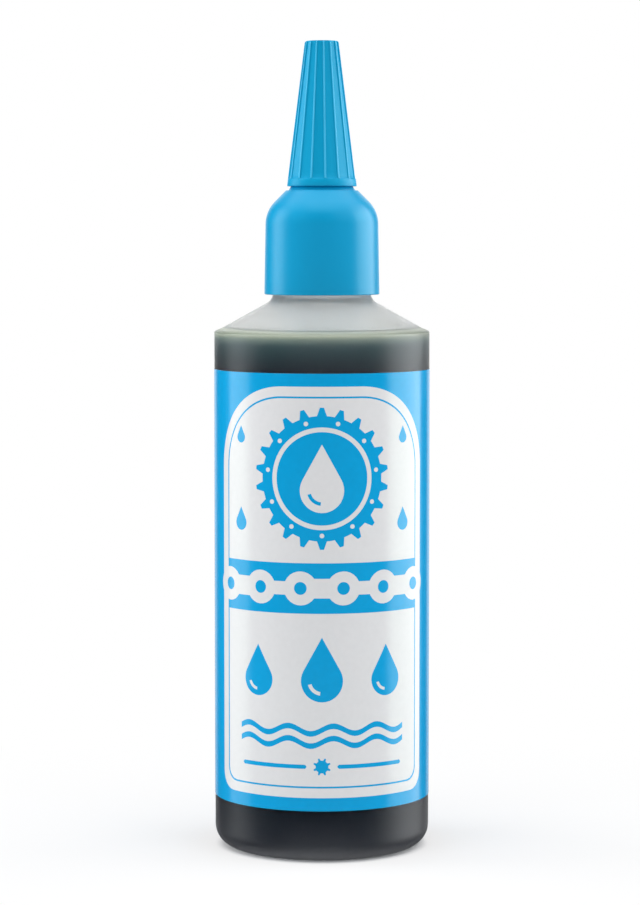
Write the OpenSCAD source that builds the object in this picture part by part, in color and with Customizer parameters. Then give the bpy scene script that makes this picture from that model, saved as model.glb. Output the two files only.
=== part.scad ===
// Chain lube bottle: a blow-moulded bottle with a screw-on spout closure and a ribbed over-cap.
// Millimetres. The origin is on the axis at the foot, +Z is up, and the front of the label faces -Y.

/* [Bottle] */
// Outer diameter of the bottle body
body_d = 42.6; // [40:0.1:46]
// Wall of the bottle body
wall = 1; // [0.7:0.1:1.1]
// Height of the corner between the body and the shoulder
shoulder_z = 102.6; // [90:0.1:115]
// Slope of the shoulder cone above level, in degrees
shoulder_slope = 29.1; // [28:0.1:32]
// Slope of the flatter rim round the shoulder cone, in degrees
rim_slope = 23.5; // [20:0.1:26]
// Width of that rim
rim_w = 1.7; // [1.4:0.1:2]
// Radius of the round between the body and the rim
shoulder_r = 0.5; // [0.3:0.1:0.8]
// Radius of the round at the foot
foot_r = 4; // [3:0.1:5]
// Outer radius of the push-up under the foot
push_up_r = 15.2; // [13:0.1:16]
// Depth of the push-up under the foot
push_up_h = 2.4; // [1.5:0.1:3]

/* [Neck] */
// Diameter of the neck, at the root of its thread
neck_d = 17.9; // [17.6:0.1:18.1]
// Bore of the neck
neck_bore_d = 15; // [14:0.1:15.2]
// Diameter of the collar under the thread
collar_d = 19.2; // [18.8:0.1:19.4]
// Height of the collar above the point where the shoulder meets it
collar_h = 2.2; // [1.8:0.1:2.6]
// Radius of the round between the shoulder and the collar
collar_r = 2.5; // [1.5:0.1:3]
// Height of the neck's lip
lip_z = 124.2; // [123.6:0.1:124.6]

/* [Contents and label] */
// Level of the oil
oil_z = 101.6; // [90:0.1:101.6]
// Lower edge of the label
label_z = 10.4; // [6:0.1:20]
// Height of the label
label_h = 84.8; // [60:0.1:88]
// Thickness of the label's film
label_t = 0.1; // [0.08:0.01:0.15]
// Gap between the label's two ends, at the back
label_gap = 2; // [1:0.5:6]

/* [Spout closure] */
// Outer diameter of the skirt at its lower edge
skirt_d = 22.8; // [22.6:0.1:23.4]
// Draft of the skirt, in degrees
skirt_draft = 1; // [0.5:0.1:1.2]
// Lower edge of the skirt
skirt_z = 109.9; // [109.7:0.1:110.3]
// Height at which the skirt turns into the dome
dome_z = 123.8; // [123.6:0.1:124]
// Radius of the dome's curve
dome_r = 6.4; // [6.2:0.1:6.6]
// Level of the deck on top of the dome
deck_z = 130.4; // [130.3:0.1:130.6]
// Bore of the skirt, at the root of its thread
skirt_bore_d = 20.1; // [20:0.05:20.2]
// Thickness of the seal wad
wad_t = 1; // [0.8:0.1:1.1]
// Height of the spout above the deck
spout_h = 25.2; // [22:0.1:25.6]
// Diameter of the spout at its tip
tip_d = 4.2; // [3.6:0.1:4.4]
// Diameter of the hole that drops the oil
drip_d = 1.6; // [1.4:0.1:2]

/* [Over-cap] */
// Diameter of the over-cap at its lower edge
cap_d = 13.8; // [13.6:0.1:14.2]
// Diameter of the over-cap at its top
cap_top_d = 6.7; // [6.5:0.1:7]
// Height of the over-cap
cap_h = 28.5; // [28.2:0.1:30]
// Wall of the over-cap, ribs included
cap_wall = 1.1; // [1:0.05:1.15]
// Number of ribs
rib_n = 15; // [12:1:16]
// Width of a rib at the lower edge
rib_w = 0.36; // [0.3:0.02:0.5]
// Width of a rib at the top
rib_top_w = 0.26; // [0.2:0.02:0.4]
// Depth of the flats between the ribs
flat_depth = 0.32; // [0.2:0.02:0.36]
// Height of the plain band under the flats
band_h = 1.5; // [1:0.1:3]
// Turn of the rib nearest the front, in degrees
rib_turn = 5.6; // [0:0.2:12]

/* [Hidden] */
$fn = 128;

// How far a cut runs past the face that it opens
over = 1;

// Bottle
body_r = body_d / 2;
neck_r = neck_d / 2;
neck_bore_r = neck_bore_d / 2;
// How far the corner and the bend of the shoulder move in for each millimetre of wall
corner_pull = 1 / cos(rim_slope) - tan(rim_slope);
bend_pull = (1 / cos(shoulder_slope) - 1 / cos(rim_slope)) / (tan(shoulder_slope) - tan(rim_slope));
neck_foot_z = shoulder_z + rim_w * tan(rim_slope)
    + (body_r - rim_w - collar_d / 2) * tan(shoulder_slope);
// Radius of the push-up's dome, and how far its centre lies under the foot
dish_r = (pow(push_up_r, 2) + pow(push_up_h, 2)) / (2 * push_up_h);
dish_z = push_up_h - dish_r;
// Weld line that the mould's pinch leaves across the push-up
weld_w = 0.8;
weld_h = 0.4;
weld_l = 20;
lip_round = 0.3;

// Closure, from the skirt inwards and upwards
skirt_r = skirt_d / 2;
skirt_top_r = skirt_r - (dome_z - skirt_z) * tan(skirt_draft);
skirt_bore_r = skirt_bore_d / 2;
skirt_round = 0.2;
lead_in = 0.4;
// Centre of the dome's curve, set so that it leaves the skirt along its draft
dome_cx = skirt_top_r - dome_r * cos(skirt_draft);
dome_cz = dome_z - dome_r * sin(skirt_draft);
// The curve ends in a chamfer of 45 degrees, which runs up to the deck
chamfer_x = dome_cx + dome_r * cos(45);
chamfer_z = dome_cz + dome_r * sin(45);
deck_r = chamfer_x - (deck_z - chamfer_z);
deck_round = 0.35;
shell = 1.25;
seat_z = lip_z + wad_t;
seat_in_r = 7.2;
seat_out_r = 8.9;
wad_slack = 0.07;
wad_in_r = 6.4;
// Heights of the pocket outside the rib that presses on the wad
pocket_low = 0.6;
pocket_high = 1.7;
funnel_cut = 1;

// Boss and spout
boss_r = 6.6;
boss_h = 0.8;
ledge_r = 6.1;
ledge_z = deck_z + boss_h;
fit_slack = 0.08;
fit_h = 2;
fit_lead = 0.4;
fit_r = cap_d / 2 - cap_wall - fit_slack;
spout_z = ledge_z + fit_h;
spout_r = 5;
tip_z = deck_z + spout_h;
tip_round = 0.5;
spout_bore_r = 4;
tip_bore_r = 1.3;
drip_h = 2;

// Over-cap
cap_z = ledge_z;
cap_top_z = cap_z + cap_h;
cap_slope = atan((cap_d - cap_top_d) / 2 / cap_h);
cap_lid = 1.5;
cap_round = 0.5;
cap_edge = 0.12;
flat_cut = 2;
pin_r = drip_d / 2 - fit_slack;
pin_dip = 1.2;
pin_chamfer = 0.25;

// Colours
milky = [0.80, 0.84, 0.84, 0.55];
oil_green = [0.09, 0.12, 0.11];
print_blue = [0.02, 0.58, 0.86];
cap_blue = [0.02, 0.56, 0.82];
foam_white = [0.90, 0.90, 0.88];

// Half section of the bottle's form, t millimetres inside its outer skin
module bottle_form(t) {
    corner_z = shoulder_z - t * corner_pull;
    round_x = body_r - t - shoulder_r;
    round_z = corner_z - shoulder_r * corner_pull;
    bend_x = body_r - rim_w - t * bend_pull;
    bend_z = corner_z + (body_r - t - bend_x) * tan(rim_slope);
    // The cone runs in to the bore, so that the inside has no step under the neck
    cone_z = bend_z + (bend_x - neck_bore_r) * tan(shoulder_slope);
    difference() {
        union() {
            translate([body_r - foot_r, foot_r]) circle(foot_r - t);
            translate([0, t]) square([body_r - foot_r, foot_r]);
            translate([0, foot_r]) square([body_r - t, round_z - foot_r]);
            translate([round_x, round_z]) circle(shoulder_r);
            polygon([
                [0, foot_r],
                [round_x, foot_r],
                [round_x, round_z],
                [round_x + shoulder_r * sin(rim_slope), round_z + shoulder_r * cos(rim_slope)],
                [bend_x, bend_z],
                [neck_bore_r, cone_z],
                [0, cone_z]
            ]);
        }
        translate([0, dish_z]) circle(dish_r + t);
    }
}

// Fills the hollow corner between the shoulder cone and the collar with a round
module collar_fillet() {
    turn = (90 - shoulder_slope) / 2;
    reach = collar_r * tan(turn);
    foot = [collar_d / 2, neck_foot_z];
    difference() {
        polygon([
            foot,
            foot + [0, reach],
            foot + reach * [cos(shoulder_slope), -sin(shoulder_slope)]
        ]);
        translate([foot[0] + collar_r, foot[1] + reach]) circle(collar_r);
    }
}

module neck_section() {
    translate([0, shoulder_z]) square([collar_d / 2, neck_foot_z + collar_h - shoulder_z]);
    translate([0, shoulder_z]) square([neck_r, lip_z - lip_round - shoulder_z]);
    translate([0, lip_z - lip_round]) square([neck_r - lip_round, lip_round]);
    translate([neck_r - lip_round, lip_z - lip_round]) circle(lip_round);
}

module bottle_hollow() {
    bottle_form(wall);
    translate([0, shoulder_z]) square([neck_bore_r, lip_z - shoulder_z + over]);
}

// Keeps the half of a section that may be turned about the axis
module right_half() {
    intersection() {
        children();
        translate([0, -body_d]) square([body_d, cap_top_z + 2 * body_d]);
    }
}

module bottle() {
    color(milky) {
        rotate_extrude() right_half() difference() {
            union() {
                bottle_form(0);
                neck_section();
                collar_fillet();
            }
            bottle_hollow();
        }
        base_weld();
    }
}

// The weld hangs from the push-up and stays clear of the surface below
module base_weld() {
    weld_z = dish_z + sqrt(pow(dish_r, 2) - pow(weld_l / 2, 2)) - weld_h;
    intersection() {
        translate([-weld_l / 2, -weld_w / 2, weld_z]) cube([weld_l, weld_w, push_up_h]);
        difference() {
            translate([0, 0, dish_z]) sphere(dish_r + wall / 2);
            translate([0, 0, dish_z]) sphere(dish_r - weld_h);
        }
    }
}

module chain_oil() {
    color(oil_green) rotate_extrude() right_half() intersection() {
        bottle_form(wall);
        square([body_r, oil_z]);
    }
}

module label() {
    color(print_blue) translate([0, 0, label_z]) difference() {
        cylinder(r = body_r + label_t, h = label_h);
        translate([0, 0, -over]) cylinder(r = body_r, h = label_h + 2 * over);
        translate([-label_gap / 2, 0, -over]) cube([label_gap, body_d, label_h + 2 * over]);
    }
}

module seal_wad() {
    color(foam_white) translate([0, 0, lip_z]) difference() {
        cylinder(r = skirt_bore_r - wad_slack, h = wad_t);
        translate([0, 0, -over]) cylinder(r = wad_in_r, h = wad_t + 2 * over);
    }
}

module closure_outside() {
    edge_x = skirt_r - skirt_round / tan((90 - skirt_draft) / 2);
    edge_z = skirt_z + skirt_round;
    polygon([
        [0, skirt_z],
        [edge_x, skirt_z],
        [edge_x + skirt_round * cos(skirt_draft), edge_z + skirt_round * sin(skirt_draft)],
        [skirt_top_r, dome_z],
        [0, dome_z]
    ]);
    translate([edge_x, edge_z]) circle(skirt_round);
    intersection() {
        translate([dome_cx, dome_cz]) circle(dome_r);
        translate([0, dome_z]) square([skirt_r, dome_r]);
    }
    rim_x = deck_r - deck_round * tan(45 / 2);
    rim_z = deck_z - deck_round;
    polygon([
        [0, dome_z],
        [dome_cx, dome_z],
        [chamfer_x, chamfer_z],
        [rim_x + deck_round * cos(45), rim_z + deck_round * sin(45)],
        [rim_x, deck_z],
        [0, deck_z]
    ]);
    translate([rim_x, rim_z]) circle(deck_round);
}

module closure_inside() {
    translate([0, skirt_z - over]) square([skirt_bore_r, seat_z - skirt_z + over]);
    polygon([
        [0, skirt_z - over],
        [skirt_bore_r + lead_in + over, skirt_z - over],
        [skirt_bore_r, skirt_z + lead_in],
        [0, skirt_z + lead_in]
    ]);
    polygon([
        [seat_out_r, seat_z - over],
        [skirt_bore_r, seat_z - over],
        [skirt_bore_r, seat_z + pocket_low],
        [seat_out_r, seat_z + pocket_high]
    ]);
    // Funnel inside the rib, which keeps the shell's thickness under the deck
    polygon([
        [0, seat_z - over],
        [seat_in_r, seat_z - over],
        [seat_in_r, deck_z - shell - funnel_cut],
        [seat_in_r - funnel_cut, deck_z - shell],
        [0, deck_z - shell]
    ]);
}

module spout_outside() {
    polygon([[0, deck_z], [boss_r, deck_z], [ledge_r, ledge_z], [0, ledge_z]]);
    polygon([
        [0, ledge_z],
        [fit_r, ledge_z],
        [fit_r, spout_z - fit_lead],
        [fit_r - fit_lead / 2, spout_z],
        [0, spout_z]
    ]);
    tip_r = tip_d / 2;
    polygon([[0, spout_z], [spout_r, spout_z], [tip_r, tip_z - tip_round], [0, tip_z - tip_round]]);
    translate([0, tip_z - tip_round]) square([tip_r - tip_round, tip_round]);
    translate([tip_r - tip_round, tip_z - tip_round]) circle(tip_round);
}

module spout_inside() {
    polygon([
        [0, deck_z - shell - over],
        [spout_bore_r, deck_z - shell - over],
        [tip_bore_r, tip_z - drip_h],
        [0, tip_z - drip_h + tip_bore_r]
    ]);
    translate([0, tip_z - drip_h]) square([drip_d / 2, drip_h + over]);
}

module spout_cap() {
    color(cap_blue) rotate_extrude() right_half() difference() {
        union() {
            closure_outside();
            spout_outside();
        }
        closure_inside();
        spout_inside();
    }
}

// Half section of the over-cap before its flats are cut
module cap_section() {
    top_r = cap_top_d / 2;
    foot_in_r = cap_d / 2 - cap_wall;
    lid_z = cap_top_z - cap_lid;
    lid_in_r = top_r + cap_lid * tan(cap_slope) - cap_wall;
    // Tangent length of the round between the cone and the flat top
    round_in = cap_round * tan((90 - cap_slope) / 2);
    difference() {
        union() {
            polygon([
                [0, cap_z],
                [cap_d / 2 - cap_edge, cap_z],
                [cap_d / 2 - cap_edge * tan(cap_slope), cap_z + cap_edge],
                [top_r + round_in * sin(cap_slope), cap_top_z - round_in * cos(cap_slope)],
                [top_r - round_in, cap_top_z - cap_round],
                [top_r - round_in, cap_top_z],
                [0, cap_top_z]
            ]);
            translate([top_r - round_in, cap_top_z - cap_round]) circle(cap_round);
        }
        translate([0, cap_z - over]) square([foot_in_r, fit_h + over]);
        polygon([
            [0, cap_z],
            [foot_in_r - fit_h * tan(cap_slope), cap_z + fit_h],
            [lid_in_r, lid_z],
            [0, lid_z]
        ]);
    }
}

// The pin under the lid plugs the spout's hole
module cap_pin() {
    pin_z = tip_z - pin_dip;
    translate([0, 0, pin_z]) cylinder(r1 = pin_r - pin_chamfer, r2 = pin_r, h = pin_chamfer);
    translate([0, 0, pin_z + pin_chamfer])
        cylinder(r = pin_r, h = cap_top_z - cap_lid / 2 - pin_z - pin_chamfer);
}

// One flat cut between two ribs: a tapered outline set against the cone and extruded outwards
module cap_flat() {
    pitch = 360 / rib_n;
    slant = cap_h / cos(cap_slope);
    low_half = (cap_d / 2 - flat_depth) * tan(pitch / 2) - rib_w / 2;
    top_half = (cap_top_d / 2 - flat_depth) * tan(pitch / 2) - rib_top_w / 2;
    taper = (low_half - top_half) / slant;
    start = band_h / cos(cap_slope);
    translate([0, -(cap_d / 2 - flat_depth), cap_z])
        rotate([90 - cap_slope, 0, 0])
            linear_extrude(height = flat_cut)
                polygon([
                    [-low_half + taper * start, start],
                    [low_half - taper * start, start],
                    [top_half - taper * over, slant + over],
                    [-top_half + taper * over, slant + over]
                ]);
}

module over_cap() {
    color(cap_blue) {
        difference() {
            rotate_extrude() right_half() cap_section();
            for (i = [0:rib_n - 1])
                rotate([0, 0, rib_turn + (i + 0.5) * 360 / rib_n]) cap_flat();
        }
        cap_pin();
    }
}

bottle();
chain_oil();
label();
seal_wad();
spout_cap();
over_cap();
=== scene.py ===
import math

import bpy
import numpy as np
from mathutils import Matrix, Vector
from mathutils.geometry import delaunay_2d_cdt


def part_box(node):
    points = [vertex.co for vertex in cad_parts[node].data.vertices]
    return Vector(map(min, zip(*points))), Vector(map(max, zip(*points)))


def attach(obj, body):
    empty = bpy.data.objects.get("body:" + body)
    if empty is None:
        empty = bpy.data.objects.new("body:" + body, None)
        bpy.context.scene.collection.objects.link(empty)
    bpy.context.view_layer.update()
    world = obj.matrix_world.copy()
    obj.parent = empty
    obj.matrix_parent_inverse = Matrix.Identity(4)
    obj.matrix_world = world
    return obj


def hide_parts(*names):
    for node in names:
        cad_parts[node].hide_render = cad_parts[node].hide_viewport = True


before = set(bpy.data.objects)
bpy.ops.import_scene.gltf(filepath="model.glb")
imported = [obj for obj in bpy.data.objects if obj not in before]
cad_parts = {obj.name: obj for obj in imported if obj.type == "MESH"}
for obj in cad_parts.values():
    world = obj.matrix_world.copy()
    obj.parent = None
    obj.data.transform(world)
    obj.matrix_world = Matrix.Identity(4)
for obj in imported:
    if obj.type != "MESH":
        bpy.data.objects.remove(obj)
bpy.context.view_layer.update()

MM = 0.001

# Sizes in millimetres, read from the frame or repeated from the part's source
FOOT_R = 4.0
PUSH_UP_R, PUSH_UP_H = 15.2, 2.4
DISH_R = (PUSH_UP_R**2 + PUSH_UP_H**2) / (2 * PUSH_UP_H)
DISH_Z = PUSH_UP_H - DISH_R
WALL = 1.0
BODY_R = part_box("bottle")[1].x / MM
LIP_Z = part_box("bottle")[1].z / MM
SHOULDER_Z, SHOULDER_SLOPE, SHOULDER_R = 102.6, math.radians(29.1), 0.5
RIM_W, RIM_SLOPE = 1.7, math.radians(23.5)
NECK_R, NECK_BORE_R = 8.95, 7.5
COLLAR_R, COLLAR_H, COLLAR_ROUND = 9.6, 2.2, 2.5
LIP_ROUND = 0.3
OIL_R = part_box("chain_oil")[1].x / MM
OIL_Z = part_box("chain_oil")[1].z / MM
OIL_CREEP = 1.9
LABEL_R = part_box("label")[1].x / MM
LABEL_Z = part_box("label")[0].z / MM
LABEL_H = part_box("label")[1].z / MM - LABEL_Z
LABEL_GAP = 2.0
FILM_GAP = 0.008
SKIRT_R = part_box("spout_cap")[1].x / MM
SKIRT_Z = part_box("spout_cap")[0].z / MM
TIP_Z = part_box("spout_cap")[1].z / MM
SKIRT_DRAFT = math.radians(1.0)
SKIRT_BORE_R = 10.05
DOME_Z, DOME_R = 123.8, 6.4
DECK_Z = 130.4
SEAT_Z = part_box("seal_wad")[1].z / MM
SEAT_IN_R, SEAT_OUT_R = 7.2, 8.9
POCKET_LOW, POCKET_HIGH = 0.6, 1.7
SHELL, FUNNEL_CUT = 1.25, 1.0
BOSS_R, LEDGE_R = 6.6, 6.1
CAP_R = 6.9
CAP_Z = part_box("over_cap")[0].z / MM
CAP_TOP_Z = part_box("over_cap")[1].z / MM
CAP_TOP_R = 3.35
CAP_SLOPE = (CAP_R - CAP_TOP_R) / (CAP_TOP_Z - CAP_Z)
CAP_WALL, CAP_LID = 1.1, 1.5
CAP_ROUND, CAP_EDGE = 0.5, 0.12
FIT_H, FIT_LEAD, FIT_SLACK = 2.0, 0.4, 0.08
SPOUT_R, TIP_R, TIP_ROUND = 5.0, 2.1, 0.5
SPOUT_BORE_R, TIP_BORE_R, DRIP_R, DRIP_H = 4.0, 1.3, 0.8, 2.0
PIN_DIP, PIN_CHAMFER = 1.2, 0.25
RIB_N, RIB_W, RIB_TOP_W, RIB_TURN = 15, 0.36, 0.26, 5.6
RIB_PITCH, RIB_BEVEL = 2 * math.pi / RIB_N, 0.05
FLAT_DEPTH, BAND_H, RUN_OUT = 0.32, 1.5, 0.12

# Threads: the upper end, the ridge's width and its height; the skirt's runs between the neck's turns
THREAD_LEAD, THREAD_TURNS, THREAD_STEP = 3.175, 1.6, 0.14
NECK_THREAD = (LIP_Z - 1.9, 1.9, 0.88)
SKIRT_THREAD = (LIP_Z - 3.52, 1.5, 0.8)

SMALL = 1e-6


# Geometry helpers

def rounded(points):
    """An open run of (r, z) or (r, z, fillet) corners, with each fillet drawn as an arc."""
    step = math.radians(9)
    out = []
    last = len(points) - 1
    for i, point in enumerate(points):
        here = Vector(point[:2])
        if len(point) < 3 or i in (0, last):
            out.append((here.x, here.y))
            continue
        before = (Vector(points[i - 1][:2]) - here).normalized()
        after = (Vector(points[i + 1][:2]) - here).normalized()
        half = before.angle(after) / 2
        radius = point[2]
        centre = here + (before + after).normalized() * radius / math.sin(half)
        start = here + before * radius / math.tan(half) - centre
        end = here + after * radius / math.tan(half) - centre
        sweep = math.pi - 2 * half
        turns = max(2, math.ceil(sweep / step))
        side = 1 if start.x * end.y - start.y * end.x > 0 else -1
        a0 = math.atan2(start.y, start.x)
        for k in range(turns + 1):
            a = a0 + side * sweep * k / turns
            out.append((centre.x + radius * math.cos(a), centre.y + radius * math.sin(a)))
    return out


def arc(centre, radius, a0, a1, n):
    """Points on an arc in n equal steps, both ends included."""
    return [
        (
            centre[0] + radius * math.cos(a0 + (a1 - a0) * k / n),
            centre[1] + radius * math.sin(a0 + (a1 - a0) * k / n),
        )
        for k in range(n + 1)
    ]


def dense(profile, z0, z1, step):
    """The same profile with extra points where it runs between two heights."""
    out = [profile[0]]
    for (r0, h0), (r1, h1) in zip(profile, profile[1:]):
        length = math.hypot(r1 - r0, h1 - h0)
        inside = min(h0, h1) > z0 - SMALL and max(h0, h1) < z1 + SMALL
        n = max(1, math.ceil(length / step)) if inside else 1
        out += [(r0 + (r1 - r0) * k / n, h0 + (h1 - h0) * k / n) for k in range(1, n + 1)]
    return out


def even_angles(n):
    return [2 * math.pi * k / n for k in range(n)]


def join_rings(rings, loop=False):
    """Faces between neighbouring rings of vertex numbers; a ring on the axis repeats one number."""
    pairs = list(zip(rings, rings[1:]))
    if loop:
        pairs.append((rings[-1], rings[0]))
    faces = []
    for low, high in pairs:
        for i in range(len(low)):
            j = (i + 1) % len(low)
            corners = [low[i], low[j], high[j], high[i]]
            face = [v for k, v in enumerate(corners) if v != corners[k - 1]]
            if len(face) > 2:
                faces.append(face)
    return faces


def add_mesh(name, verts, faces, materials, body, slot=None, sharp=32):
    """Verts in millimetres. With several materials, slot(face centre) gives a face's index."""
    mesh = bpy.data.meshes.new(name)
    mesh.from_pydata([Vector(v) * MM for v in verts], [], faces)
    mesh.validate()
    mesh.polygons.foreach_set("use_smooth", [True] * len(mesh.polygons))
    mesh.update()
    mesh.set_sharp_from_angle(angle=math.radians(sharp))
    for material in materials:
        mesh.materials.append(material)
    if slot:
        for polygon in mesh.polygons:
            polygon.material_index = slot(polygon.center / MM)
    piece = bpy.data.objects.new(name, mesh)
    bpy.context.scene.collection.objects.link(piece)
    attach(piece, body)
    return piece


def lathe(profile, angles, shape=None, loop=False):
    """Turns an (r, z) profile about Z, with one vertex on the axis. shape(r, z, angle) may move r."""
    verts, rings = [], []
    n = len(angles)
    for r, z in profile:
        if r < SMALL:
            rings.append([len(verts)] * n)
            verts.append((0, 0, z))
            continue
        rings.append(list(range(len(verts), len(verts) + n)))
        for a in angles:
            rr = shape(r, z, a) if shape else r
            verts.append((rr * math.sin(a), -rr * math.cos(a), z))
    return verts, join_rings(rings, loop)


# Materials

# Tint of the gloss on print and plastic, whose highlights are a little cyan
GLOSS_TINT = (0.72, 0.98, 0.80)


def new_material(name):
    material = bpy.data.materials.new(name)
    material.use_nodes = True
    nodes = material.node_tree.nodes
    return material, nodes, material.node_tree.links, nodes["Principled BSDF"]


def add_noise(nodes, links, scale, detail):
    """Noise in the part's own coordinates; scale is in waves per metre."""
    place = nodes.new("ShaderNodeTexCoord")
    noise = nodes.new("ShaderNodeTexNoise")
    noise.inputs["Scale"].default_value = scale
    noise.inputs["Detail"].default_value = detail
    links.new(place.outputs["Object"], noise.inputs["Vector"])
    return noise.outputs["Fac"]


def add_range(nodes, links, value, low, high, in_low=0.3, in_high=0.7):
    """Maps a value from one range to another; without an input range, the usual spread of noise."""
    spread = nodes.new("ShaderNodeMapRange")
    spread.inputs["From Min"].default_value = in_low
    spread.inputs["From Max"].default_value = in_high
    spread.inputs["To Min"].default_value = low
    spread.inputs["To Max"].default_value = high
    links.new(value, spread.inputs["Value"])
    return spread.outputs["Result"]


def add_mix(nodes, links, factor, a, b):
    mix = nodes.new("ShaderNodeMix")
    mix.data_type = "RGBA"
    mix.inputs["A"].default_value = (*a, 1)
    mix.inputs["B"].default_value = (*b, 1)
    links.new(factor, mix.inputs["Factor"])
    return mix.outputs["Result"]


def add_bump(nodes, links, shader, height, distance):
    bump = nodes.new("ShaderNodeBump")
    bump.inputs["Distance"].default_value = distance
    links.new(height, bump.inputs["Height"])
    links.new(bump.outputs["Normal"], shader.inputs["Normal"])


def moulded(name, colour, darker, roughness, gloss=0.5):
    """Moulded plastic: slight flow marks in the colour, and a fine grain in the gloss and the surface."""
    material, nodes, links, shader = new_material(name)
    flow = add_range(nodes, links, add_noise(nodes, links, 70, 4), 0, 1)
    links.new(add_mix(nodes, links, flow, darker, colour), shader.inputs["Base Color"])
    fine = add_noise(nodes, links, 2600, 2)
    links.new(
        add_range(nodes, links, fine, roughness * 0.88, roughness * 1.12),
        shader.inputs["Roughness"],
    )
    add_bump(nodes, links, shader, fine, 0.000004)
    shader.inputs["IOR"].default_value = 1.49
    shader.inputs["Specular IOR Level"].default_value = gloss
    shader.inputs["Specular Tint"].default_value = (*GLOSS_TINT, 1)
    return material


def printed(name, colour, darker):
    """Ink on a film: a faint mottle in the ink and an almost flat, glossy surface."""
    material, nodes, links, shader = new_material(name)
    mottle = add_range(nodes, links, add_noise(nodes, links, 900, 3), 0, 1)
    links.new(add_mix(nodes, links, mottle, darker, colour), shader.inputs["Base Color"])
    wave = add_noise(nodes, links, 60, 2)
    links.new(add_range(nodes, links, wave, 0.18, 0.22), shader.inputs["Roughness"])
    add_bump(nodes, links, shader, wave, 0.00002)
    shader.inputs["IOR"].default_value = 1.5
    shader.inputs["Specular Tint"].default_value = (*GLOSS_TINT, 1)
    return material


def natural_wall():
    """Natural polyethylene: frosted and a little milky, so it passes light on in every direction."""
    material, nodes, links, shader = new_material("natural_wall")
    cloud = add_range(nodes, links, add_noise(nodes, links, 140, 3), 0, 1)
    links.new(
        add_mix(nodes, links, cloud, (0.95, 0.957, 0.98), (0.975, 0.98, 0.998)),
        shader.inputs["Base Color"],
    )
    shader.inputs["Transmission Weight"].default_value = 1.0
    shader.inputs["Roughness"].default_value = 0.38
    shader.inputs["IOR"].default_value = 1.42
    shader.inputs["Specular Tint"].default_value = (0.88, 0.97, 1.0, 1)
    shader.inputs["Coat Weight"].default_value = 0.9
    shader.inputs["Coat Roughness"].default_value = 0.5
    milk = nodes.new("ShaderNodeBsdfTranslucent")
    milk.inputs["Color"].default_value = (0.965, 0.97, 1.0, 1)
    milky = nodes.new("ShaderNodeMixShader")
    milky.inputs["Fac"].default_value = 0.30
    links.new(shader.outputs["BSDF"], milky.inputs[1])
    links.new(milk.outputs["BSDF"], milky.inputs[2])
    path = nodes.new("ShaderNodeLightPath")
    clear = nodes.new("ShaderNodeBsdfTransparent")
    clear.inputs["Color"].default_value = (0.92, 0.95, 0.97, 1)
    mix = nodes.new("ShaderNodeMixShader")
    links.new(path.outputs["Is Shadow Ray"], mix.inputs["Fac"])
    links.new(milky.outputs["Shader"], mix.inputs[1])
    links.new(clear.outputs["BSDF"], mix.inputs[2])
    links.new(mix.outputs["Shader"], nodes["Material Output"].inputs["Surface"])
    return material


# Height over the oil's level in millimetres, and the colour that the oil shows against the wall, which
# paints its light and shade:
# the dark depth, painted light green under the level and olive over it, a painted bright line and its
# fading edge
OIL_LIGHT_AND_SHADE = (
    (-6.0, (0.003, 0.006, 0.012)),
    (-1.2, (0.008, 0.036, 0.040)),
    (-0.4, (0.035, 0.080, 0.060)),
    (0.0, (0.085, 0.135, 0.090)),
    (0.5, (0.17, 0.20, 0.12)),
    (0.8, (0.46, 0.49, 0.39)),
    (1.05, (0.15, 0.165, 0.15)),
    (1.3, (0.10, 0.115, 0.11)),
)


def oil_side():
    """Oil against the wall: almost black, and olive at its surface where light gets in, as painted light
    that changes with height.
    """
    material, nodes, links, shader = new_material("oil_side")
    place = nodes.new("ShaderNodeTexCoord")
    axes = nodes.new("ShaderNodeSeparateXYZ")
    links.new(place.outputs["Object"], axes.inputs["Vector"])
    low, high = OIL_LIGHT_AND_SHADE[0][0], OIL_LIGHT_AND_SHADE[-1][0]
    # Painted light and shade: the colour follows the height, dark low down, olive and a bright line near
    # the level
    share = add_range(
        nodes, links, axes.outputs["Z"], 0.0, 1.0, (OIL_Z + low) * MM, (OIL_Z + high) * MM
    )
    ramp = nodes.new("ShaderNodeValToRGB")
    links.new(share, ramp.inputs["Fac"])
    stops = ramp.color_ramp.elements
    stops[0].color = (*OIL_LIGHT_AND_SHADE[0][1], 1)
    stops[1].color = (*OIL_LIGHT_AND_SHADE[-1][1], 1)
    for height, colour in OIL_LIGHT_AND_SHADE[1:-1]:
        stops.new((height - low) / (high - low)).color = (*colour, 1)
    links.new(ramp.outputs["Color"], shader.inputs["Base Color"])
    haze = add_noise(nodes, links, 150, 2)
    links.new(add_range(nodes, links, haze, 0.5, 0.7), shader.inputs["Roughness"])
    shader.inputs["Specular IOR Level"].default_value = 0.0
    return material


def oil_top():
    """The oil's level surface, seen through the milky shoulder."""
    material, nodes, links, shader = new_material("oil_top")
    haze = add_range(nodes, links, add_noise(nodes, links, 120, 2), 0, 1)
    links.new(
        add_mix(nodes, links, haze, (0.34, 0.34, 0.27), (0.38, 0.38, 0.30)),
        shader.inputs["Base Color"],
    )
    shader.inputs["Roughness"].default_value = 0.06
    shader.inputs["IOR"].default_value = 1.47
    return material


def foam():
    """Closed-cell foam: small cells in its colour and its surface."""
    material, nodes, links, shader = new_material("wad_foam")
    cells = nodes.new("ShaderNodeTexVoronoi")
    cells.inputs["Scale"].default_value = 5000
    place = nodes.new("ShaderNodeTexCoord")
    links.new(place.outputs["Object"], cells.inputs["Vector"])
    links.new(
        add_mix(nodes, links, cells.outputs["Distance"], (0.90, 0.90, 0.88), (0.76, 0.76, 0.73)),
        shader.inputs["Base Color"],
    )
    links.new(
        add_range(nodes, links, cells.outputs["Distance"], 0.65, 0.9, 0, 1),
        shader.inputs["Roughness"],
    )
    add_bump(nodes, links, shader, cells.outputs["Distance"], 0.00004)
    return material


# Bottle

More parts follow.
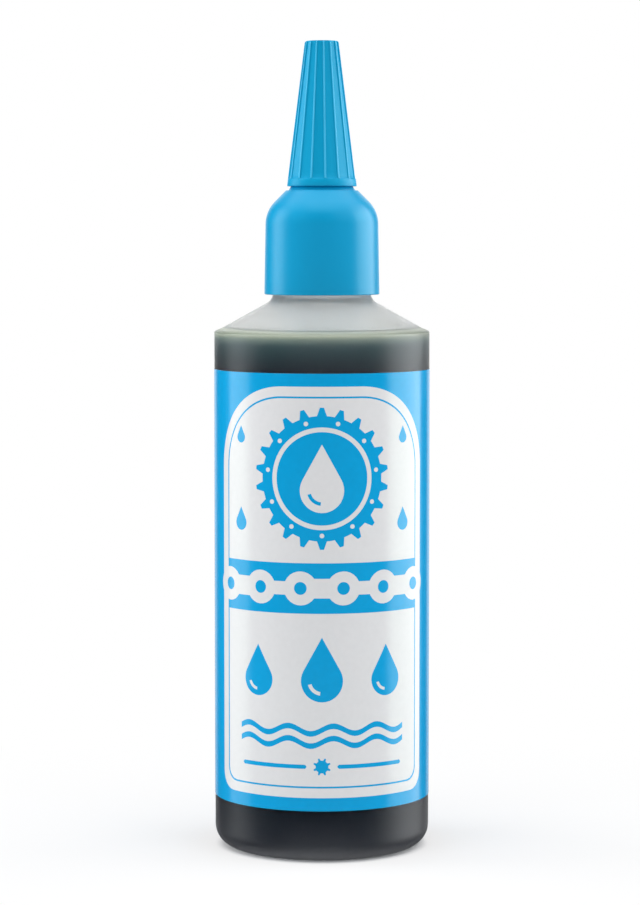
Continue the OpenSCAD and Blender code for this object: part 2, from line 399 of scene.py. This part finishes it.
def thread_height(z, angle, thread):
    """Height of a right-handed thread's ridge at a place on a cylinder, with ends that fade out."""
    z_top, width, height = thread
    flank_share, fade_turns = 0.42, 0.09
    best = 0.0
    for turn in range(math.ceil(THREAD_TURNS) + 1):
        along = turn + angle / (2 * math.pi)
        off = abs(z - z_top + (THREAD_TURNS - along) * THREAD_LEAD) / (width / 2)
        if along > THREAD_TURNS or off >= 1.0:
            continue
        flank = min(1.0, (1.0 - off) / flank_share)
        crest = flank * flank * (3 - 2 * flank)
        fade = min(1.0, along / fade_turns, (THREAD_TURNS - along) / fade_turns)
        best = max(best, height * crest * fade)
    return best


def dish_edge(depth):
    """Radius at which the push-up's dome ends, so far inside the outer surface."""
    return math.sqrt((DISH_R + depth) ** 2 - (depth - DISH_Z) ** 2)


def dish_arc(depth, steps=10):
    """Section of that dome, from the axis to one step before its edge."""
    radius = DISH_R + depth
    turn = math.asin(dish_edge(depth) / radius)
    return [
        (radius * math.sin(turn * k / steps), DISH_Z + radius * math.cos(turn * k / steps))
        for k in range(steps)
    ]


def inner_shoulder(depth):
    """The corner's height, and the bend's radius and height, so far inside the outer surface."""
    slope, rim_slope = math.tan(SHOULDER_SLOPE), math.tan(RIM_SLOPE)
    corner_z = SHOULDER_Z - depth * (1 / math.cos(RIM_SLOPE) - rim_slope)
    pull = (1 / math.cos(SHOULDER_SLOPE) - 1 / math.cos(RIM_SLOPE)) / (slope - rim_slope)
    bend_r = BODY_R - RIM_W - depth * pull
    return corner_z, bend_r, corner_z + (BODY_R - depth - bend_r) * rim_slope


def bottle_profile():
    """The wall's section, from under the foot up outside, over the lip and down inside."""
    slope = math.tan(SHOULDER_SLOPE)
    under = dish_arc(0)
    bend_z = SHOULDER_Z + RIM_W * math.tan(RIM_SLOPE)
    lip_foot = LIP_Z - 3
    collar_foot = bend_z + (BODY_R - RIM_W - COLLAR_R) * slope
    outside = rounded([
        under[-1],
        (PUSH_UP_R, 0, 0.6),
        (BODY_R, 0, FOOT_R),
        (BODY_R, SHOULDER_Z, SHOULDER_R),
        (BODY_R - RIM_W, bend_z, 1.5),
        (COLLAR_R, collar_foot, COLLAR_ROUND),
        (COLLAR_R, collar_foot + COLLAR_H, 0.25),
        (NECK_R, collar_foot + COLLAR_H, 0.3),
        (NECK_R, LIP_Z, LIP_ROUND),
        (NECK_BORE_R, LIP_Z, LIP_ROUND),
        (NECK_BORE_R, lip_foot),
    ])
    outside = dense(outside, collar_foot + COLLAR_H, LIP_Z, THREAD_STEP)
    corner_z, bend_r, inner_bend = inner_shoulder(WALL)
    cone = inner_bend + (bend_r - NECK_BORE_R) * slope
    inside = rounded([
        (NECK_BORE_R, lip_foot),
        (NECK_BORE_R, cone, 1.5),
        (bend_r, inner_bend, 1.0),
        (BODY_R - WALL, corner_z, SHOULDER_R),
        (BODY_R - WALL, WALL, FOOT_R - WALL),
        (dish_edge(WALL), WALL),
    ])
    return under + outside[1:] + inside[1:] + dish_arc(WALL)[::-1]


def on_outside(r, z):
    """True on the outer surface of the body and the shoulder."""
    return r > BODY_R - WALL / 2 - max(0.0, z - SHOULDER_Z) / math.tan(SHOULDER_SLOPE)


def make_bottle(wall):
    thread_low, thread_high = 113.0, LIP_Z - 0.6
    seam_low, seam_w, seam_h = 3.0, 0.1, 0.035
    seam_near = [math.radians(90 + s * d) for s in (-1, 1) for d in (0.15, 0.35, 0.6, 1.0)]
    seams = [a + turn for a in seam_near + [math.radians(90)] for turn in (0, math.pi)]
    angles = sorted(set(round(a % (2 * math.pi), 6) for a in even_angles(180) + seams))

    def shape(r, z, angle):
        # The neck's thread, and the hair-thin parting line of the mould on both sides
        if abs(r - NECK_R) < SMALL and thread_low < z < thread_high:
            return r + thread_height(z, angle, NECK_THREAD)
        if r > COLLAR_R and z > seam_low and on_outside(r, z):
            off = (angle % math.pi - math.pi / 2) * r
            return r + seam_h * math.exp(-((off / seam_w) ** 2))
        return r

    verts, faces = lathe(bottle_profile(), angles, shape)
    piece = add_mesh("bottle_wall", verts, faces, [wall], "bottle")
    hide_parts("bottle")


def make_base_weld(wall):
    """The pinch weld across the push-up, a low rounded ridge that fades at its ends."""
    half_length, width, fade, steps = 10.0, 0.8, 0.6, 40
    # Its section: across in shares of the width, and up from the dome in millimetres
    section = [
        (-0.5, 0.05), (-0.42, -0.25), (-0.25, -0.4), (0.25, -0.4), (0.42, -0.25), (0.5, 0.05)
    ]
    verts, rings = [], []
    for i in range(steps + 1):
        x = half_length * (2 * i / steps - 1)
        dome_z = DISH_Z + math.sqrt(DISH_R**2 - x * x)
        share = min(1.0, (half_length - abs(x)) / fade + 0.05)
        rings.append(list(range(len(verts), len(verts) + len(section))))
        verts += [(x, u * width, dome_z + (h * share if h < 0 else h)) for u, h in section]
    faces = join_rings(rings) + [rings[0], rings[-1][::-1]]
    piece = add_mesh("base_weld", verts, faces, [wall], "bottle")


# Oil

def make_oil(side, top):
    """The contents. They bite a little into the wall, so that no air shows between the two."""
    bite = 0.03
    depth = WALL - bite
    radius = OIL_R + bite
    # The oil wets the wall and fills the narrow corner under the shoulder's rim
    corner_z, bend_r, bend_z = inner_shoulder(depth)
    contact_r = radius - OIL_CREEP
    contact_z = bend_z + (bend_r - contact_r) * math.tan(SHOULDER_SLOPE)
    wall_side = rounded([
        (dish_edge(depth), depth),
        (radius, depth, FOOT_R - WALL),
        (radius, corner_z, SHOULDER_R),
        (bend_r, bend_z, 1.0),
        (contact_r, contact_z),
    ])
    meniscus_w, steps = 2.4, 10
    meniscus = [
        (contact_r - meniscus_w * k / steps, OIL_Z + (contact_z - OIL_Z) * (1 - k / steps) ** 2.2)
        for k in range(1, steps + 1)
    ]
    level = [(12.0, OIL_Z), (5.0, OIL_Z), (0.0, OIL_Z)]
    verts, faces = lathe(dish_arc(depth) + wall_side + meniscus + level, even_angles(180))

    def slot(centre):
        on_top = centre.z > OIL_Z - 1 and math.hypot(centre.x, centre.y) < contact_r
        return 1 if on_top else 0

    piece = add_mesh("oil", verts, faces, [side, top], "bottle", slot)
    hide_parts("chain_oil")


# Label print: shapes in millimetres, s round the bottle from the front and v up from the lower edge

def block(x0, v0, x1, v1, corner_low, corner_high):
    """A rectangle with rounded corners, whose lower and upper radii differ."""
    corners = [
        (x1, v0, corner_low), (x1, v1, corner_high), (x0, v1, corner_high), (x0, v0, corner_low)
    ]
    out = []
    for i, (x, v, radius) in enumerate(corners):
        inward_x = -1 if x == x1 else 1
        inward_v = 1 if v == v0 else -1
        a0 = math.radians([-90, 0, 90, 180][i])
        n = max(1, math.ceil(radius * 1.6))
        out += arc((x + inward_x * radius, v + inward_v * radius), radius, a0, a0 + math.pi / 2, n)
    return out


def disc(x, v, radius, n):
    return arc((x, v), radius, 0, 2 * math.pi * (n - 1) / n, n - 1)


def drop(x, v, radius, height):
    """A drop: a round foot, and two tangent sides up to its point."""
    lean = math.asin(radius / (height - radius))
    return arc((x, v), radius, math.pi - lean, 2 * math.pi + lean, 24) + [(x, v + height - radius)]


def crescent(x, v, outer, inner, end):
    """A thin gleam low on the left of a drop, from 195 degrees to its end."""
    a0, a1 = math.radians(195), math.radians(end)
    return arc((x, v), outer, a0, a1, 8) + arc((x, v), inner, a1, a0, 8)


def sprocket(x, v, root, tip, teeth):
    """A toothed wheel's outline; each tooth has a foot, two flanks and a flat tip."""
    out = []
    for i in range(teeth):
        base = 2 * math.pi * i / teeth
        for part, radius in ((0.0, root), (0.22, root), (0.40, tip), (0.60, tip), (0.78, root)):
            a = base + part * 2 * math.pi / teeth
            out.append((x + radius * math.cos(a), v + radius * math.sin(a)))
    return out


def link(x, v, pitch, end_r, waist):
    """A chain link's side plate: two round ends joined by a narrower waist."""
    lean = math.acos(waist / end_r)
    half = pitch / 2
    right = arc((x + half, v), end_r, -math.pi / 2 - lean, math.pi / 2 + lean, 22)
    left = arc((x - half, v), end_r, math.pi / 2 - lean, 3 * math.pi / 2 + lean, 22)
    return right + left


def wave(x0, x1, v, swing, length, thick):
    """A wavy band of even height."""
    n = 60
    xs = [x0 + (x1 - x0) * k / n for k in range(n + 1)]
    middle = [(x, v + swing * math.sin(2 * math.pi * x / length)) for x in xs]
    low = [(x, y - thick / 2) for x, y in reversed(middle)]
    return low + [(x, y + thick / 2) for x, y in middle]


PANEL_HALF, PANEL_LOW, PANEL_HIGH = 23.8, 2.6, 82.3


def label_layers():
    """(ink, outline) pairs in the order of painting; ink 0 is blue and 1 is white."""
    blue, white = 0, 1
    layers = [(white, block(-PANEL_HALF, PANEL_LOW, PANEL_HALF, PANEL_HIGH, 3.6, 16.0))]
    inset, line = 1.9, 0.35
    for ink, gap in ((blue, inset), (white, inset + line)):
        half, low, high = PANEL_HALF - gap, PANEL_LOW + gap, PANEL_HIGH - gap
        layers.append((ink, block(-half, low, half, high, 3.6 - gap / 2, 16.0 - gap)))
    # Chainring round a drop
    wheel_v = 64.6
    layers.append((blue, sprocket(0, wheel_v, 12.1, 13.7, 22)))
    layers.append((white, disc(0, wheel_v, 9.9, 72)))
    layers.append((blue, disc(0, wheel_v, 9.0, 72)))
    layers.append((white, drop(0, wheel_v - 2.3, 4.3, 13.2)))
    layers.append((blue, crescent(0, wheel_v - 2.3, 2.9, 2.2, 265)))
    for i in range(11):
        a = 2 * math.pi * (i + 0.5) / 11
        layers.append((white, disc(11.0 * math.sin(a), wheel_v + 11.0 * math.cos(a), 0.45, 12)))
    for side in (-1, 1):
        layers.append((blue, drop(side * 17.6, 55.6, 1.5, 4.6)))
        layers.append((blue, drop(side * 17.6, 72.2, 1.1, 3.4)))
    # A length of chain across the panel
    chain_v, pitch = 43.4, 8.4
    edge = PANEL_HALF - inset - line
    layers.append((blue, block(-edge, chain_v - 4.9, edge, chain_v + 4.9, 0, 0)))
    for i in (-1, 1):
        layers.append((white, link(i * pitch, chain_v, pitch, 2.5, 1.3)))
    for i in (-2, 0, 2):
        layers.append((white, link(i * pitch, chain_v, pitch, 3.3, 1.9)))
    for i in range(-3, 3):
        layers.append((blue, disc((i + 0.5) * pitch, chain_v, 1.25, 24)))
    # Three drops, two waves and a closing rule
    for x, size in ((-13.2, 0.8), (0, 1.0), (13.2, 0.8)):
        layers.append((blue, drop(x, 25.4, 4.1 * size, 12.6 * size)))
        layers.append((white, crescent(x, 25.4, 2.8 * size, 2.1 * size, 262)))
    for v in (15.9, 13.5):
        layers.append((blue, wave(-17.6, 17.6, v, 0.75, 8.8, 1.1)))
    for side in (-1, 1):
        x0, x1 = sorted((side * 3.0, side * 17.0))
        layers.append((blue, block(x0, 8.3, x1, 9.1, 0.3, 0.3)))
    layers.append((blue, sprocket(0, 8.7, 1.25, 1.75, 8)))
    return layers


def inside_outline(outline, points):
    """Even-odd test of many points against one closed outline."""
    a = np.array(outline)
    b = np.roll(a, -1, axis=0)
    x, y = points[:, 0], points[:, 1]
    hit = np.zeros(len(points), bool)
    for (x0, y0), (x1, y1) in zip(a, b):
        if y0 == y1:
            continue
        crosses = (y0 > y) != (y1 > y)
        hit ^= crosses & (x < (x1 - x0) * (y - y0) / (y1 - y0) + x0)
    return hit


def make_label(inks):
    """The film is cut along every edge of the print, so that each ink is its own faces."""
    half = math.pi * LABEL_R - LABEL_GAP / 2
    points, edges = [], []

    def add_loop(outline, closed=True):
        start, n = len(points), len(outline)
        points.extend(Vector(p) for p in outline)
        edges.extend((start + k, start + (k + 1) % n) for k in range(n if closed else n - 1))

    add_loop([(-half, 0), (half, 0), (half, LABEL_H), (-half, LABEL_H)])
    layers = label_layers()
    for _, outline in layers:
        add_loop(outline)
    columns = 150
    for k in range(1, columns):
        s = -half + 2 * half * k / columns
        add_loop([(s, 0), (s, LABEL_H)], closed=False)
    flat, _, faces, *_ = delaunay_2d_cdt(points, edges, [], 1, 1e-5)
    flat = np.array([tuple(p) for p in flat])
    faces = [list(f) for f in faces]
    centres = np.array([flat[f].mean(axis=0) for f in faces])
    ink = np.zeros(len(faces), int)
    for colour, outline in layers:
        ink[inside_outline(outline, centres)] = colour
    n = len(flat)
    verts = []
    for radius in (LABEL_R, BODY_R + FILM_GAP):
        for s, v in flat:
            a = s / LABEL_R
            verts.append((radius * math.sin(a), -radius * math.cos(a), LABEL_Z + v))
    # The outer face in its inks, then the film's white back and its cut edge
    sides = {(v, f[(i + 1) % len(f)]) for f in faces for i, v in enumerate(f)}
    rim = sorted((a, b) for a, b in sides if (b, a) not in sides)
    back = [[v + n for v in reversed(f)] for f in faces]
    edge = [[b, a, a + n, b + n] for a, b in rim]
    slots = list(ink) + [1] * (len(back) + len(edge))
    mesh = bpy.data.meshes.new("label_film")
    mesh.from_pydata([Vector(v) * MM for v in verts], [], faces + back + edge)
    for material in inks:
        mesh.materials.append(material)
    mesh.polygons.foreach_set("material_index", [int(s) for s in slots])
    mesh.polygons.foreach_set("use_smooth", [True] * len(mesh.polygons))
    mesh.update()
    mesh.set_sharp_from_angle(angle=math.radians(40))
    piece = bpy.data.objects.new("label_film", mesh)
    bpy.context.scene.collection.objects.link(piece)
    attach(piece, "bottle")
    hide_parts("label")


# Spout closure

def make_closure(plastic):
    top_r = SKIRT_R - (DOME_Z - SKIRT_Z) * math.tan(SKIRT_DRAFT)
    cx = top_r - DOME_R * math.cos(SKIRT_DRAFT)
    cz = DOME_Z - DOME_R * math.sin(SKIRT_DRAFT)
    chamfer = (cx + DOME_R * math.cos(math.pi / 4), cz + DOME_R * math.sin(math.pi / 4))
    deck_r = chamfer[0] - (DECK_Z - chamfer[1])
    fit_r = CAP_R - CAP_WALL - FIT_SLACK
    spout_z = CAP_Z + FIT_H
    lead_in = 0.4
    bore_foot = (SKIRT_BORE_R, SKIRT_Z + lead_in + 1)
    skirt = rounded([
        bore_foot,
        (SKIRT_BORE_R, SKIRT_Z + lead_in, 0.2),
        (SKIRT_BORE_R + lead_in, SKIRT_Z, 0.15),
        (SKIRT_R, SKIRT_Z, 0.2),
        (top_r, DOME_Z),
    ])
    dome = arc((cx, cz), DOME_R, SKIRT_DRAFT, math.pi / 4, 14)
    spout = rounded([
        chamfer,
        (deck_r, DECK_Z, 0.35),
        (BOSS_R, DECK_Z, 0.12),
        (LEDGE_R, CAP_Z, 0.1),
        (fit_r, CAP_Z, 0.08),
        (fit_r, spout_z - FIT_LEAD, 0.1),
        (fit_r - FIT_LEAD / 2, spout_z, 0.1),
        (SPOUT_R, spout_z, 0.3),
        (TIP_R, TIP_Z, TIP_ROUND),
        (DRIP_R, TIP_Z, 0.1),
        (DRIP_R, TIP_Z - DRIP_H + TIP_BORE_R - DRIP_R),
        (TIP_BORE_R, TIP_Z - DRIP_H),
        (SPOUT_BORE_R, DECK_Z - SHELL, 0.4),
        (SEAT_IN_R - FUNNEL_CUT, DECK_Z - SHELL, 0.3),
        (SEAT_IN_R, DECK_Z - SHELL - FUNNEL_CUT, 0.3),
        (SEAT_IN_R, SEAT_Z, 0.15),
        (SEAT_OUT_R, SEAT_Z, 0.15),
        (SEAT_OUT_R, SEAT_Z + POCKET_HIGH, 0.3),
        (SKIRT_BORE_R, SEAT_Z + POCKET_LOW, 0.3),
        bore_foot,
    ])
    bore = dense([(SKIRT_BORE_R, SEAT_Z), bore_foot], SKIRT_Z, SEAT_Z + 1, THREAD_STEP)
    profile = skirt + dome[1:] + spout[1:-1] + bore[:-1]
    thread_high = SEAT_Z - 0.3

    def shape(r, z, angle):
        if abs(r - SKIRT_BORE_R) < SMALL and z < thread_high:
            return r - thread_height(z, angle, SKIRT_THREAD)
        return r

    verts, faces = lathe(profile, even_angles(180), shape, loop=True)
    piece = add_mesh("spout_closure", verts, faces, [plastic], "closure")
    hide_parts("spout_cap")


# Over-cap

def cone_radius(z):
    """Radius of the over-cap's outer cone, over its ribs."""
    return CAP_R - (z - CAP_Z) * CAP_SLOPE


def rib_columns():
    """Places across one pitch, from flat to flat: (kind, share of the flat's width, side of the rib)."""
    places = [
        ("flat", 1.0), ("flat", 0.72), ("flat", 0.42), ("flat", 0.0), ("flank", 0.0), ("edge", 0.0)
    ]
    left = [(kind, amount, -1) for kind, amount in places]
    right = [(kind, amount, 1) for kind, amount in reversed(places[1:])]
    return left + [("crest", 0.0, 0)] + right


def over_cap_section():
    """The cap's section, outside from its foot to the axis and inside from the pin back to its foot."""
    lean = math.atan(CAP_SLOPE)
    band_z = CAP_Z + BAND_H
    cut_z = band_z + RUN_OUT
    cut_h = CAP_TOP_Z - 1.0 - cut_z
    rows = [CAP_Z + CAP_EDGE, CAP_Z + 0.8, band_z - RUN_OUT / 2, band_z, band_z + RUN_OUT / 2, cut_z]
    rows += [cut_z + cut_h * k / 24 for k in range(1, 25)]
    round_r = CAP_TOP_R - CAP_ROUND * math.tan((math.pi / 2 - lean) / 2)
    dimple_z = CAP_TOP_Z - 0.16
    outer = [(CAP_R - CAP_EDGE, CAP_Z), (CAP_R - 0.04, CAP_Z + 0.04)]
    outer += [(cone_radius(z), z) for z in rows]
    outer += arc((round_r, CAP_TOP_Z - CAP_ROUND), CAP_ROUND, lean, math.pi / 2, 8)
    outer += [(1.1, CAP_TOP_Z), (0.8, CAP_TOP_Z - 0.02), (0.55, dimple_z), (0.0, dimple_z)]
    foot_in = CAP_R - CAP_WALL
    lid_z = CAP_TOP_Z - CAP_LID
    pin_r = DRIP_R - FIT_SLACK
    pin_z = TIP_Z - PIN_DIP
    inner = rounded([
        (0, pin_z),
        (pin_r - 0.2, pin_z, 0.05),
        (pin_r, pin_z + PIN_CHAMFER, 0.1),
        (pin_r, lid_z, 0.15),
        (cone_radius(lid_z) - CAP_WALL, lid_z, 0.3),
        (foot_in - FIT_H * CAP_SLOPE, CAP_Z + FIT_H, 0.1),
        (foot_in, CAP_Z + FIT_H, 0.1),
        (foot_in, CAP_Z, 0.1),
        outer[0],
    ])
    return outer, inner[:-1]


def rib_place(kind, amount, side, z, radius):
    """Angle from the rib's middle, and radius of the cut surface, at a height."""
    share = (z - CAP_Z) / (CAP_TOP_Z - CAP_Z)
    cone = cone_radius(z)
    half = (RIB_W + (RIB_TOP_W - RIB_W) * share) / 2 / cone
    if kind == "crest":
        return 0.0, radius
    if kind == "edge":
        return side * (half - RIB_BEVEL / cone * 0.7), radius - RIB_BEVEL * 0.25
    if kind == "flank":
        return side * (half + 0.01 / cone), radius - RIB_BEVEL
    root = half + 0.07 / cone
    angle = root + (RIB_PITCH / 2 - root) * amount
    return side * angle, (cone - FLAT_DEPTH) / math.cos(RIB_PITCH / 2 - angle)


def make_over_cap(plastic, crest):
    outer, inner = over_cap_section()
    band_z = CAP_Z + BAND_H
    # The flats run out above the plain band: heights, and the share of their depth there
    run_z = (band_z - RUN_OUT / 2, band_z, band_z + RUN_OUT / 2, band_z + RUN_OUT)
    run_share = (0.0, 0.12, 0.85, 1.0)
    columns = rib_columns()
    turn = math.radians(RIB_TURN)
    verts, rings = [], []
    for index, (radius, z) in enumerate(outer + inner):
        if radius < SMALL:
            rings.append([len(verts)] * (RIB_N * len(columns)))
            verts.append((0, 0, z))
            continue
        rings.append(list(range(len(verts), len(verts) + RIB_N * len(columns))))
        depth = np.interp(z, run_z, run_share) if index < len(outer) else 0.0
        for rib in range(RIB_N):
            for kind, amount, side in columns:
                angle, cut = rib_place(kind, amount, side, z, radius)
                r = radius - depth * (radius - min(radius, cut))
                a = turn + rib * RIB_PITCH + angle
                verts.append((r * math.sin(a), -r * math.cos(a), z))

    def slot(centre):
        """The ribs' narrow crests take the paler plastic, a painted highlight along each rib."""
        if not band_z + 0.1 < centre.z < CAP_TOP_Z - 0.3:
            return 0
        around = math.atan2(centre.x, -centre.y) - turn
        radius = math.hypot(centre.x, centre.y)
        off = abs((around + RIB_PITCH / 2) % RIB_PITCH - RIB_PITCH / 2) * radius
        # Faces on a rib's crest get the painted highlight
        crest_painted_light = off < RIB_W / 2 and radius > cone_radius(centre.z) - RIB_BEVEL
        return 1 if crest_painted_light else 0

    faces = join_rings(rings, loop=True)
    piece = add_mesh("over_cap_shell", verts, faces, [plastic, crest], "cap", slot, sharp=40)
    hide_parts("over_cap")


# Stage, lamps and camera

def add_math(nodes, links, operation, *values):
    """A Math node; each value is a number or a socket."""
    node = nodes.new("ShaderNodeMath")
    node.operation = operation
    for i, value in enumerate(values):
        if isinstance(value, (int, float)):
            node.inputs[i].default_value = value
        else:
            links.new(value, node.inputs[i])
    return node.outputs["Value"]


def add_window(nodes, links, value, centre, half, soft):
    """1 where value is within half of centre, falling to 0 over a soft edge."""
    off = add_math(nodes, links, "ABSOLUTE", add_math(nodes, links, "SUBTRACT", value, centre))
    edge = nodes.new("ShaderNodeMapRange")
    edge.interpolation_type = "SMOOTHSTEP"
    edge.inputs["From Min"].default_value = half - soft
    edge.inputs["From Max"].default_value = half + soft
    edge.inputs["To Min"].default_value = 1.0
    edge.inputs["To Max"].default_value = 0.0
    links.new(off, edge.inputs["Value"])
    return edge.outputs["Result"]


def make_floor():
    """A pale floor with a faint shadow round the part, white as the background further out."""
    material, nodes, links, shader = new_material("floor_white")
    shader.inputs["Base Color"].default_value = (0.85, 0.85, 0.85, 1)
    shader.inputs["Roughness"].default_value = 0.9
    shader.inputs["Specular IOR Level"].default_value = 0.0
    path = nodes.new("ShaderNodeLightPath")
    place = nodes.new("ShaderNodeTexCoord")
    length = nodes.new("ShaderNodeVectorMath")
    length.operation = "LENGTH"
    links.new(place.outputs["Object"], length.inputs[0])
    # How much of the lit floor shows: all of it under the foot, and less and less round it, in metres
    contact = add_range(nodes, links, length.outputs["Value"], 1.0, 0.0, 0.0195, 0.0225)
    around = add_range(nodes, links, length.outputs["Value"], 0.42, 0.0, 0.02, 0.13)
    lit = add_math(nodes, links, "MAXIMUM", contact, around)
    seen = add_math(
        nodes, links, "MAXIMUM", path.outputs["Is Camera Ray"], path.outputs["Is Transmission Ray"]
    )
    white = add_math(nodes, links, "MULTIPLY", seen, add_math(nodes, links, "SUBTRACT", 1.0, lit))
    glow = nodes.new("ShaderNodeEmission")
    surface = nodes.new("ShaderNodeMixShader")
    links.new(white, surface.inputs["Fac"])
    links.new(shader.outputs["BSDF"], surface.inputs[1])
    links.new(glow.outputs["Emission"], surface.inputs[2])
    # Reflections on the part show the studio and not the floor
    mirrored = add_math(
        nodes, links, "MULTIPLY", path.outputs["Is Glossy Ray"],
        add_math(nodes, links, "SUBTRACT", 1.0, path.outputs["Is Transmission Ray"]),
    )
    clear = nodes.new("ShaderNodeBsdfTransparent")
    choice = nodes.new("ShaderNodeMixShader")
    links.new(mirrored, choice.inputs["Fac"])
    links.new(surface.outputs["Shader"], choice.inputs[1])
    links.new(clear.outputs["BSDF"], choice.inputs[2])
    links.new(choice.outputs["Shader"], nodes["Material Output"].inputs["Surface"])

    reach = 4.0
    mesh = bpy.data.meshes.new("floor")
    corners = [(-reach, -reach, 0), (reach, -reach, 0), (reach, reach, 0), (-reach, reach, 0)]
    mesh.from_pydata(corners, [], [(0, 1, 2, 3)])
    mesh.materials.append(material)
    floor = bpy.data.objects.new("floor", mesh)
    bpy.context.scene.collection.objects.link(floor)


# Light that the room gives, and its brightness in reflections
ROOM_LIGHT = (0.30, 0.30, 0.31)
ROOM_DARK = 0.03
# Soft boxes seen in reflections: azimuth from the camera's side, half width, soft edge, strength
SOFT_BOXES = ((-99.7, 15.7, 1.2, 2.55), (102.5, 26.6, 2.5, 4.1))
BACK_HALF, BACK_SOFT, BACK_STRENGTH = math.radians(26), 0.05, 1.0
# The boxes' reach in height and the light overhead, as the sine of the elevation
BOX_HEIGHT = (0.18, 0.40, 0.22)
TOP_REACH, TOP_STRENGTH = (1.0, 0.3, 0.12), 1.7


def make_world():
    """White for the camera and through the wall, grey as light, and a dark studio in reflections."""
    world = bpy.data.worlds.new("studio")
    bpy.context.scene.world = world
    world.use_nodes = True
    world.cycles.sampling_method = "NONE"
    nodes, links = world.node_tree.nodes, world.node_tree.links
    room = nodes["Background"]
    room.inputs["Color"].default_value = (*ROOM_LIGHT, 1)

    place = nodes.new("ShaderNodeTexCoord")
    axes = nodes.new("ShaderNodeSeparateXYZ")
    links.new(place.outputs["Generated"], axes.inputs["Vector"])
    toward = add_math(nodes, links, "MULTIPLY", axes.outputs["Y"], -1.0)
    azimuth = add_math(nodes, links, "ARCTAN2", axes.outputs["X"], toward)
    height = add_window(nodes, links, axes.outputs["Z"], *BOX_HEIGHT)
    boxes = [
        (add_window(nodes, links, azimuth, *map(math.radians, span)), strength)
        for *span, strength in SOFT_BOXES
    ]
    away = add_math(nodes, links, "ABSOLUTE", azimuth)
    behind = add_window(nodes, links, away, math.pi, BACK_HALF, BACK_SOFT)
    total = ROOM_DARK
    for box, strength in boxes + [(behind, BACK_STRENGTH)]:
        box = add_math(nodes, links, "MULTIPLY", box, height)
        total = add_math(nodes, links, "MULTIPLY_ADD", box, strength, total)
    above = add_window(nodes, links, axes.outputs["Z"], *TOP_REACH)
    total = add_math(nodes, links, "MULTIPLY_ADD", above, TOP_STRENGTH, total)
    studio = nodes.new("ShaderNodeBackground")
    studio.inputs["Color"].default_value = (1, 1, 1, 1)
    links.new(total, studio.inputs["Strength"])

    white = nodes.new("ShaderNodeBackground")
    white.inputs["Color"].default_value = (1, 1, 1, 1)
    path = nodes.new("ShaderNodeLightPath")
    mirrored = nodes.new("ShaderNodeMixShader")
    links.new(path.outputs["Is Glossy Ray"], mirrored.inputs["Fac"])
    links.new(room.outputs["Background"], mirrored.inputs[1])
    links.new(studio.outputs["Background"], mirrored.inputs[2])
    seen = add_math(
        nodes, links, "MAXIMUM", path.outputs["Is Camera Ray"], path.outputs["Is Transmission Ray"]
    )
    mix = nodes.new("ShaderNodeMixShader")
    links.new(seen, mix.inputs["Fac"])
    links.new(mirrored.outputs["Shader"], mix.inputs[1])
    links.new(white.outputs["Background"], mix.inputs[2])
    links.new(mix.outputs["Shader"], nodes["World Output"].inputs["Surface"])


def add_lamp(name, azimuth, elevation, distance, width, height, watts):
    """A soft box that lights the part; its reflection is drawn by the studio world."""
    aim = Vector((0, 0, 0.08))
    a, e = math.radians(azimuth), math.radians(elevation)
    toward = Vector((math.sin(a) * math.cos(e), -math.cos(a) * math.cos(e), math.sin(e)))
    lamp = bpy.data.lights.new(name, "AREA")
    lamp.shape = "RECTANGLE"
    lamp.size, lamp.size_y = width, height
    lamp.energy = watts
    holder = bpy.data.objects.new(name, lamp)
    holder.location = aim + toward * distance
    holder.rotation_euler = (-toward).to_track_quat("-Z", "Y").to_euler()
    holder.visible_glossy = False
    holder.visible_transmission = False
    bpy.context.scene.collection.objects.link(holder)


def make_lamps():
    add_lamp("left_box", -98, 22, 0.58, 0.36, 0.60, 2.1)
    add_lamp("right_box", 100, 22, 0.58, 0.50, 0.60, 1.9)
    add_lamp("top_box", 0, 78, 0.78, 0.6, 0.5, 2.8)
    add_lamp("front_left", -48, 28, 1.0, 0.5, 0.5, 1.7)
    add_lamp("front_right", 48, 28, 1.0, 0.5, 0.5, 1.7)


def make_camera():
    """The photograph's view: 4.4 degrees down, from 0.6 m, with a lens of about 120 mm."""
    image_w, image_h = 640, 905
    focal_px = 3009
    sensor = 36.0
    distance, height, tilt = 596.8, 124.06, 4.37
    axis_x = 321.9
    data = bpy.data.cameras.new("camera")
    data.sensor_width = sensor
    data.lens = focal_px / max(image_w, image_h) * sensor
    camera = bpy.data.objects.new("camera", data)
    side = (image_w / 2 - axis_x) * distance / focal_px
    camera.location = Vector((side, -distance, height)) * MM
    camera.rotation_euler = (math.radians(90 - tilt), 0, 0)
    bpy.context.scene.collection.objects.link(camera)
    bpy.context.scene.camera = camera


def main():
    make_camera()
    bpy.context.scene.view_settings.view_transform = "Standard"
    wall = natural_wall()
    make_bottle(wall)
    make_base_weld(wall)
    make_oil(oil_side(), oil_top())
    ink_blue = printed("ink_blue", (0.0, 0.368, 0.735), (0.0, 0.352, 0.705))
    ink_white = printed("ink_white", (0.765, 0.77, 0.78), (0.745, 0.75, 0.76))
    make_label([ink_blue, ink_white])
    closure_blue = moulded("closure_plastic", (0.0, 0.345, 0.635), (0.0, 0.33, 0.615), 0.33)
    cap_blue = moulded("cap_plastic", (0.0, 0.35, 0.615), (0.0, 0.335, 0.595), 0.4, 0.36)
    # The paler blue for the ribs' crests is a painted highlight
    cap_crest_highlight = moulded("cap_crest_highlight", (0.05, 0.50, 0.79), (0.05, 0.48, 0.77), 0.36)
    make_closure(closure_blue)
    make_over_cap(cap_blue, cap_crest_highlight)
    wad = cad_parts["seal_wad"]
    wad.data.materials.clear()
    wad.data.materials.append(foam())
    make_floor()
    make_world()
    make_lamps()


main()
